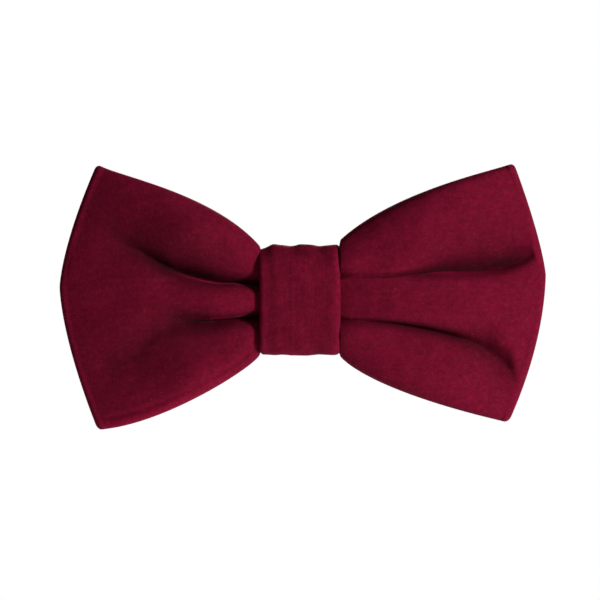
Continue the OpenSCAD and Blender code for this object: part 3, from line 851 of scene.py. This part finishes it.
class Look:
    """A material in the making. Its textures lie in the object's own coordinate."""

    def __init__(self, name):
        self.material = bpy.data.materials.new(name)
        self.material.use_nodes = True
        self.nt = self.material.node_tree
        self.inputs = self.nt.nodes["Principled BSDF"].inputs
        self.coord = add_node(self.nt, "TexCoord", {}, "Object")

    def stretched(self, scale):
        """The coordinate with each axis scaled: a small scale makes a texture long that way."""
        return add_node(self.nt, "Mapping", {"Vector": self.coord, "Scale": scale}, "Vector")

    def noise(self, scale, detail=3.0, rough=0.55, coord=None):
        inputs = {"Vector": coord or self.coord, "Scale": scale, "Detail": detail, "Roughness": rough}
        return add_node(self.nt, "TexNoise", inputs, "Fac")

    def bands(self, direction, scale, distortion=0.0):
        """Even stripes across this direction."""
        inputs = {"Vector": self.coord, "Scale": scale, "Distortion": distortion}
        return add_node(self.nt, "TexWave", inputs, "Fac", wave_type="BANDS", bands_direction=direction)

    def ramp(self, value, low_high, to):
        """The value, mapped from one range to another."""
        names = ("From Min", "From Max", "To Min", "To Max")
        return add_node(self.nt, "MapRange", {"Value": value, **dict(zip(names, low_high + to))}, "Result")

    def mix(self, amount, a, b, blend="MIX"):
        """Colour a with colour b over it."""
        a, b = ((*c, 1) if isinstance(c, tuple) else c for c in (a, b))
        return add_node(self.nt, "Mix", {0: amount, 6: a, 7: b}, 2, data_type="RGBA", blend_type=blend)

    def tinted(self, colour, amount):
        """The colour, multiplied by a value."""
        grey = add_node(self.nt, "CombineColor", {0: amount, 1: amount, 2: amount})
        return self.mix(1.0, colour, grey, "MULTIPLY")

    def bump(self, height, strength, distance, before=None):
        inputs = {"Height": height, "Strength": strength, "Distance": distance}
        if before:
            inputs["Normal"] = before
        return add_node(self.nt, "Bump", inputs, "Normal")

    def finished(self, colour, rough, normal):
        """The material, with its textures on the shader."""
        for name, value in (("Base Color", colour), ("Roughness", rough), ("Normal", normal)):
            self.nt.links.new(value, self.inputs[name])
        return self.material


def velvet_material(name, grain):
    """grain stretches the streaks of the pile: small along the way that the cloth's threads run."""
    look = Look(name)
    deep, rich, bright = (0.155, 0.0012, 0.0170), (0.182, 0.0018, 0.0210), (0.240, 0.0040, 0.034)
    colour = look.mix(look.ramp(look.noise(120, 4, 0.6), (0.35, 0.65), (0, 1)), deep, rich)
    colour = look.mix(look.ramp(look.noise(900, 3, 0.6), (0.42, 0.75), (0, 0.75)), colour, bright)
    colour = look.tinted(colour, look.ramp(look.noise(4200, 2, 0.5), (0.3, 0.7), (0.76, 1.2)))
    streaks = look.noise(1500, 3, 0.6, look.stretched(grain))
    colour = look.tinted(colour, look.ramp(streaks, (0.3, 0.7), (0.87, 1.11)))
    # Painted shade in the folds and painted highlights, partly the lie of the pile, multiply the base colour.
    pile_and_painted_light = add_node(look.nt, "Attribute", {}, "Fac", attribute_name="pile_and_painted_light")
    colour = look.tinted(colour, look.ramp(pile_and_painted_light, (-1, 1), (0.03, 2)))
    lint = look.ramp(look.noise(3600, 0, 0.5), (0.80, 0.85), (0, 0.26))
    colour = look.mix(lint, colour, (0.42, 0.10, 0.16))
    look.inputs["Specular IOR Level"].default_value = 0.12
    look.inputs["Sheen Weight"].default_value = 0.42
    look.inputs["Sheen Roughness"].default_value = 0.38
    look.inputs["Sheen Tint"].default_value = (0.56, 0.006, 0.075, 1)
    clumps = look.bump(look.noise(260, 3, 0.6), 0.12, 0.0005)
    pile = look.bump(look.noise(3600, 2, 0.6), 0.55, 0.00016, clumps)
    return look.finished(colour, look.ramp(look.noise(700), (0.3, 0.7), (0.82, 0.98)), pile)


def satin_material():
    look = Look("satin")
    ribs = look.bands("Z", 1100, 0.6)
    tone = look.ramp(look.noise(160, 4), (0.35, 0.65), (0, 1))
    colour = look.mix(tone, (0.115, 0.0016, 0.0150), (0.150, 0.0026, 0.0215))
    colour = look.tinted(colour, look.ramp(ribs, (0, 1), (0.72, 1.12)))
    look.inputs["Specular IOR Level"].default_value = 0.32
    look.inputs["Specular Tint"].default_value = (1, 0.45, 0.6, 1)
    look.inputs["Sheen Weight"].default_value = 0.2
    look.inputs["Sheen Tint"].default_value = (0.7, 0.2, 0.3, 1)
    grained = look.bump(look.noise(2400, 2), 0.25, 0.00006, look.bump(ribs, 0.25, 0.00005))
    return look.finished(colour, look.ramp(look.noise(300), (0.3, 0.7), (0.36, 0.50)), grained)


def thread_material():
    look = Look("thread")
    twist = look.bands("DIAGONAL", 900)
    colour = look.mix(twist, (0.06, 0.002, 0.01), (0.15, 0.006, 0.03))
    look.inputs["Sheen Weight"].default_value = 0.3
    rough = look.ramp(look.noise(900), (0.3, 0.7), (0.45, 0.65))
    return look.finished(colour, rough, look.bump(twist, 0.5, 0.00006))


def interlining_material():
    look = Look("interlining")
    threads = {0: look.bands("Y", 420), 1: look.bands("Z", 420)}
    weave = add_node(look.nt, "Math", threads, operation="MULTIPLY")
    colour = look.mix(weave, (0.55, 0.53, 0.48), (0.80, 0.78, 0.73))
    rough = look.ramp(look.noise(500), (0.3, 0.7), (0.8, 0.95))
    return look.finished(colour, rough, look.bump(weave, 0.5, 0.0001))


def nickel_material():
    look = Look("nickel")
    tone = look.ramp(look.noise(240, 4), (0.3, 0.7), (0, 1))
    colour = look.mix(tone, (0.68, 0.66, 0.63), (0.78, 0.76, 0.73))
    look.inputs["Metallic"].default_value = 1.0
    scratches = look.noise(900, 3, 0.7, look.stretched((1, 1, 14)))
    rough = look.ramp(scratches, (0.3, 0.75), (0.10, 0.26))
    return look.finished(colour, rough, look.bump(scratches, 0.08, 0.00002))


def floor_material():
    material = bpy.data.materials.new("floor")
    material.use_nodes = True
    inputs = material.node_tree.nodes["Principled BSDF"].inputs
    inputs["Base Color"].default_value = (0.93, 0.93, 0.93, 1)
    inputs["Roughness"].default_value = 0.9
    inputs["Emission Color"].default_value = (1, 1, 1, 1)
    inputs["Emission Strength"].default_value = 0.35
    return material


VELVET = velvet_material("velvet", (0.1, 1, 1))
KNOT_VELVET = velvet_material("knot_velvet", (1, 1, 0.1))
SATIN = satin_material()
THREAD = thread_material()
INTERLINING = interlining_material()
NICKEL = nickel_material()


def piece(obj, slot, body, *nodes):
    """Puts a finished piece on its CAD body in place of the nodes it stands for."""
    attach(obj, body)
    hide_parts(*nodes)
    return obj


def stretching(obj, first, second, start, end, *nodes):
    """Bakes a satin piece's place into its mesh and hides the nodes it stands for. first, second, start and
    end are not used.
    """
    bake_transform(obj)
    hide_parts(*nodes)


# ---- bow ----
LAP_STITCHES = 9
LAP_PITCH = 1.9


def lap_stitches(name, material):
    """The slanted stitches that close the knot on the neck side."""
    parts = []
    for i in range(LAP_STITCHES):
        x = (i - LAP_STITCHES // 2) * LAP_PITCH
        top, bottom = (x, KNOT_HI[1], LAP_Z + 0.9), (x + 0.5, KNOT_HI[1], LAP_Z - 0.9)
        parts.append(stitch(top, bottom, (0, 1, 0), r=0.16, rise=0.2))
    return make_object(name, join_parts(parts), material)


for wing, word in ((LEFT, "left"), (RIGHT, "right")):
    loop = piece(wing.build(f"{word}_wing", VELVET), "velvet", "bow", f"{word}_wing_loop")
    piece(wing.core(f"{word}_wing_interlining", INTERLINING), "interlining", "bow", f"{word}_wing_core")

piece(knot("knot", KNOT_VELVET), "velvet", "bow", "knot_band")
piece(knot_lining("knot_interlining", INTERLINING), "interlining", "bow", "knot_core")
piece(waist("gathered_waist", VELVET), "velvet", "bow", "pleated_waist")
piece(whipping("whipping_thread", THREAD), "thread", "bow", "waist_thread")
piece(lap_stitches("lap_stitches", THREAD), "thread", "bow", "knot_stitches")

# ---- band ----
PLATEAU, SETTLED = 22, 36  # it stands off the collar up to the first and lies on it from the second
FRONT_R = BAND_R + 2.6
SPLIT = 38  # where the part that slides with the adjuster starts
HOOK_AT, EYE_AT, LEFT_END, RIGHT_END = 172, 183.4, 203, 157
ADJUSTER_AT = 104
SLIDE_END = ADJUSTER_AT + 8  # where the band's two layers leave the slide
TURN_OVER = 150  # between the stretch that follows the adjuster and the one that follows the hook
SNUG = 0.06  # between the cloth and the metal it goes round

# Middle radius of the layer on the collar, and of the one over it.
SINGLE = BAND_R + BAND_T / 2
DOUBLE = BAND_R + BAND_T + 0.1 + BAND_T / 2


def place(deg, r):
    """A point on the band where a stretch starts or ends, in metres."""
    return (*(polar(deg, r) * MM), 0)


def band_r(deg):
    """Mid radius of the band's single layer."""
    off = ease((np.abs(deg) - PLATEAU) / (SETTLED - PLATEAU))
    return FRONT_R + (BAND_R - FRONT_R) * off + BAND_T / 2


# ---- fixed side, with the fold round the eye ----
EYE_WIRE = 1.2
EYE_BAR = 3.6  # how far along the band the eye's bar is from EYE_AT
EYE_R = BAND_R + 2.74
EYE_BAR_AT = EYE_AT + math.degrees(math.atan(EYE_BAR / EYE_R))
EYE_BAR_R = math.hypot(EYE_BAR, EYE_R)
EYE_WRAP = EYE_WIRE / 2 + SNUG + BAND_T / 2
FOLD_EDGE, FOLD_END = EYE_BAR_AT + 1.2, 196  # where the cloth leaves the bar, and where it ends


def fold_inner_r(deg):
    rise = ease((LEFT_END - deg) / (LEFT_END - FOLD_EDGE))
    return SINGLE + (EYE_BAR_R - EYE_WRAP - SINGLE) * rise


def fold_outer_r(deg):
    apart = BAND_T + 0.05
    rise = ease((FOLD_END - deg) / (FOLD_END - FOLD_EDGE))
    return fold_inner_r(deg) + apart + (2 * EYE_WRAP - apart) * rise


def fixed_route():
    """From SPLIT past the front and the left side to the eye, round its bar and back."""
    front = np.linspace(SPLIT, -SETTLED, 60)
    left = np.linspace(-SETTLED - 1, LEFT_END - 360 + 1, 120)
    inner = np.linspace(LEFT_END, FOLD_EDGE, 24)
    outer = np.linspace(FOLD_EDGE, FOLD_END, 14)
    bar = polar(EYE_BAR_AT, EYE_BAR_R)
    turn = [bar + polar(EYE_BAR_AT + k, -EYE_WRAP) for k in np.linspace(0, 180, 15)]
    runs = [polar(front, band_r(front)), polar(left, band_r(left)), polar(inner, fold_inner_r(inner))]
    return np.concatenate(runs + [turn, polar(outer, fold_outer_r(outer))])


def eye_fold_tacks(name, material):
    """Two rows of stitches through the fold round the eye."""
    rows = []
    for deg in (193.4, 195.2):
        spot = polar(deg, fold_outer_r(deg) + BAND_T / 2)
        rows += upright_row(spot, deg, pitch=2, half=0.8, r=0.18, rise=0.2)
    return make_object(name, join_parts(rows), material)


fixed = strap("band_fixed_side", fixed_route(), 3)
piece(fixed, "satin", "band", "band_front_run", "band_left_run", "band_eye_fold")
piece(eye_fold_tacks("eye_fold_tacks", THREAD), "thread", "band", "eye_fold_stitches")

# ---- free side, through the slide ----
SLIDE_MID, SLIDE_SLOT, SLIDE_T = 1.8, 3.0, 1.0  # width of the middle bar, of a slot, and thickness
SLIDE_Y = DOUBLE + BAND_T / 2 + 0.2 + BAND_T + SNUG  # inside of the slide
BAR_Y = SLIDE_Y + SLIDE_T / 2
BAR_HALF = SLIDE_MID / 2
LOOP_UP = SLIDE_T / 2 + SNUG + BAND_T / 2  # from the bar's middle to the cloth sewn round it
ARCH_SQUARE = 2.6  # power of the arch over the bar: 2 is an ellipse, more is squarer


def arc_local(deg, r):
    """A point of the band at an angle, as (tangent, outward distance) seen from ADJUSTER_AT."""
    d = math.radians(deg - ADJUSTER_AT)
    return (r * math.sin(d), r * math.cos(d))


def free_route():
    """Along the collar from SPLIT, up through the slide, over its middle bar and down again."""
    top = SLIDE_Y + SLIDE_T + SNUG + BAND_T + 0.25 + BAND_T / 2
    low = DOUBLE + BAND_T / 2 + 0.5
    reach = BAR_HALF + SLIDE_SLOT - 0.7
    blunt = 2 / ARCH_SQUARE
    arch = []
    for a in np.linspace(-math.pi / 2, math.pi / 2, 33):
        across = np.sign(a) * reach * abs(math.sin(a)) ** blunt
        arch.append((across, low + (top - low) * math.cos(a) ** blunt))
    along = np.linspace(SPLIT, ADJUSTER_AT - 6.4, 90)
    climb = [arc_local(ADJUSTER_AT - 5.2, SINGLE + 0.1), arc_local(ADJUSTER_AT - 4.0, SINGLE + 0.5)]
    over = local(ADJUSTER_AT, climb + arch + [(reach + 0.35, DOUBLE + 0.35)])
    return np.concatenate([polar(along, band_r(along)), over, arc(ADJUSTER_AT + 5.5, SLIDE_END, 4, DOUBLE)])


def return_route():
    """The sewn end: round the middle bar, then back along the inside to TURN_OVER."""
    tail = [(BAR_HALF + 0.75, BAR_Y + LOOP_UP * 0.9), (BAR_HALF * 0.6, BAR_Y + LOOP_UP)]
    turn = []
    for a in np.linspace(math.pi, 0, 19):
        turn.append((0.1 - BAR_HALF - LOOP_UP * math.sin(a), BAR_Y - LOOP_UP * math.cos(a)))
    away = [(1.2, BAR_Y - LOOP_UP), (2.1, BAR_Y - LOOP_UP - 0.15), (3.9, DOUBLE - 0.3)]
    loop = local(ADJUSTER_AT, tail + turn + away)
    return np.concatenate([loop, arc(ADJUSTER_AT + 6.5, TURN_OVER, 60, SINGLE)])


def end_loop_tacks(name, material):
    """One row of stitches through the sewn end."""
    spot = local(ADJUSTER_AT, [(-0.3, BAR_Y + LOOP_UP + BAND_T / 2)])[0]
    row = upright_row(spot, ADJUSTER_AT, pitch=2.1, half=0.7, r=0.12, rise=0.1)
    return make_object(name, join_parts(row), material)


free_side = strap("band_free_side", free_route(), 5)
free_ends = place(SPLIT + 2, SINGLE), place(ADJUSTER_AT - 5, SINGLE)
stretching(free_side, "band", "slide", *free_ends, "band_right_run", "band_weave")

behind_ends = place(SLIDE_END - 2, DOUBLE), place(TURN_OVER, DOUBLE)
outer_run = strap("band_outer_layer", arc(SLIDE_END, TURN_OVER, 60, DOUBLE), 7)
stretching(outer_run, "slide", "band", *behind_ends, "band_outer_run")

return_run = strap("band_return_layer", return_route(), 9)
stretching(return_run, "slide", "band", *behind_ends, "band_return_run", "adjuster_end_loop")
piece(end_loop_tacks("end_loop_tacks", THREAD), "thread", "slide", "end_loop_stitches")

# ---- fold round the hook, in both layers from TURN_OVER ----
TAIL_X, HOOK_BAR, HOOK_T = -9.2, 1.5, 1.0  # where the hook's bar starts, its width and thickness
HOOK_Y = BAND_R + 2.1 + HOOK_T / 2
HOOK_WRAP = SNUG + BAND_T / 2


def to_hook(r, y_end):
    """From RIGHT_END at this radius to the hook's bar, seen from HOOK_AT."""
    start = math.radians(RIGHT_END - HOOK_AT)
    x0, y0 = r * math.sin(start), r * math.cos(start)
    x_end = TAIL_X - 0.2
    return [(x0 + (x_end - x0) * k, y0 + (y_end - y0) * float(ease(k))) for k in np.linspace(0.08, 1, 14)]


def hook_route():
    """Along the inside to the hook, round its bar and back along the outside."""
    up = HOOK_T / 2 + HOOK_WRAP
    turn = []
    for a in np.linspace(0, math.pi, 15):
        turn.append((TAIL_X + HOOK_BAR + HOOK_WRAP * 1.4 * math.sin(a), HOOK_Y - up * math.cos(a)))
    fold = to_hook(SINGLE, HOOK_Y - up) + turn + to_hook(DOUBLE, HOOK_Y + up)[::-1]
    inside, outside = (arc(TURN_OVER, RIGHT_END, 12, r) for r in (SINGLE, DOUBLE))
    return np.concatenate([inside, local(HOOK_AT, fold), outside[::-1]])


hook_end = strap("band_hook_end", hook_route(), 13)
hook_ends = place(TURN_OVER + 0.5, SINGLE), place(RIGHT_END, SINGLE)
stretching(hook_end, "band", "hook_end", *hook_ends, "band_hook_fold")

# ---- CAD pieces that stay ----
for metal in ("hook", "adjuster", "eye_loop"):
    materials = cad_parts[metal].data.materials
    if len(materials) == 0:
        materials.append(NICKEL)
    for i in range(len(materials)):
        materials[i] = NICKEL

# ---- stage ----
FLOOR_Z = -0.1
FLOOR_R = 0.2
WORLD_LIGHT = 0.05
WORLD_MIRRORED = 0.55  # how bright the white ground is in a shiny surface
CAMERA_FROM_BOW = 0.9
VIEW_WIDTH = 0.14814
SENSOR = 36


def add_floor():
    bpy.ops.mesh.primitive_circle_add(vertices=96, radius=FLOOR_R, fill_type="NGON", location=(0, 0, FLOOR_Z))
    floor = bpy.context.object
    floor.name = "floor"
    floor.data.materials.append(floor_material())


def area_light(name, direction, distance, size, power):
    """A round light this far from the bow's middle, turned to it."""
    d = np.array(direction, float) / np.linalg.norm(direction)
    light = bpy.data.lights.new(name, "AREA")
    light.shape, light.size, light.energy = "DISK", size, power
    obj = add_object(name, light)
    obj.location = np.array([0, MID_Y * MM, 0]) + d * distance
    obj.rotation_mode = "QUATERNION"
    obj.rotation_quaternion = Vector(d).to_track_quat("Z", "Y")


def studio_world():
    """White to the camera, less bright in shiny surfaces, and a weak light on everything."""
    world = bpy.data.worlds.new("studio")
    bpy.context.scene.world = world
    world.use_nodes = True
    wt = world.node_tree
    wt.nodes.clear()
    white = (1, 1, 1, 1)
    lit = add_node(wt, "Background", {"Color": white, "Strength": WORLD_LIGHT})
    seen = add_node(wt, "Background", {"Color": white})
    rays = wt.nodes.new("ShaderNodeLightPath").outputs
    terms = {0: rays["Is Glossy Ray"], 1: WORLD_MIRRORED, 2: rays["Is Camera Ray"]}
    amount = add_node(wt, "Math", terms, operation="MULTIPLY_ADD")
    surface = wt.nodes.new("ShaderNodeOutputWorld").inputs["Surface"]
    wt.links.new(add_node(wt, "MixShader", {0: amount, 1: lit, 2: seen}), surface)


def add_camera():
    """Straight in front of the bow."""
    data = bpy.data.cameras.new("camera")
    data.sensor_width = SENSOR
    data.lens = SENSOR * CAMERA_FROM_BOW / VIEW_WIDTH
    camera = add_object("camera", data)
    camera.location = (0, MID_Y * MM - CAMERA_FROM_BOW, 0)
    camera.rotation_euler = (math.radians(90), 0, 0)
    bpy.context.scene.camera = camera


add_floor()
area_light("key", (0.82, -0.57, 0.04), 0.9, 0.26, 7.8)
area_light("fill", (-0.5, -0.85, 0.0), 1.2, 0.9, 0.6)
area_light("back", (0.15, 1.0, 0.22), 1.2, 0.7, 9)
studio_world()
add_camera()
bpy.context.scene.view_settings.view_transform = "Standard"
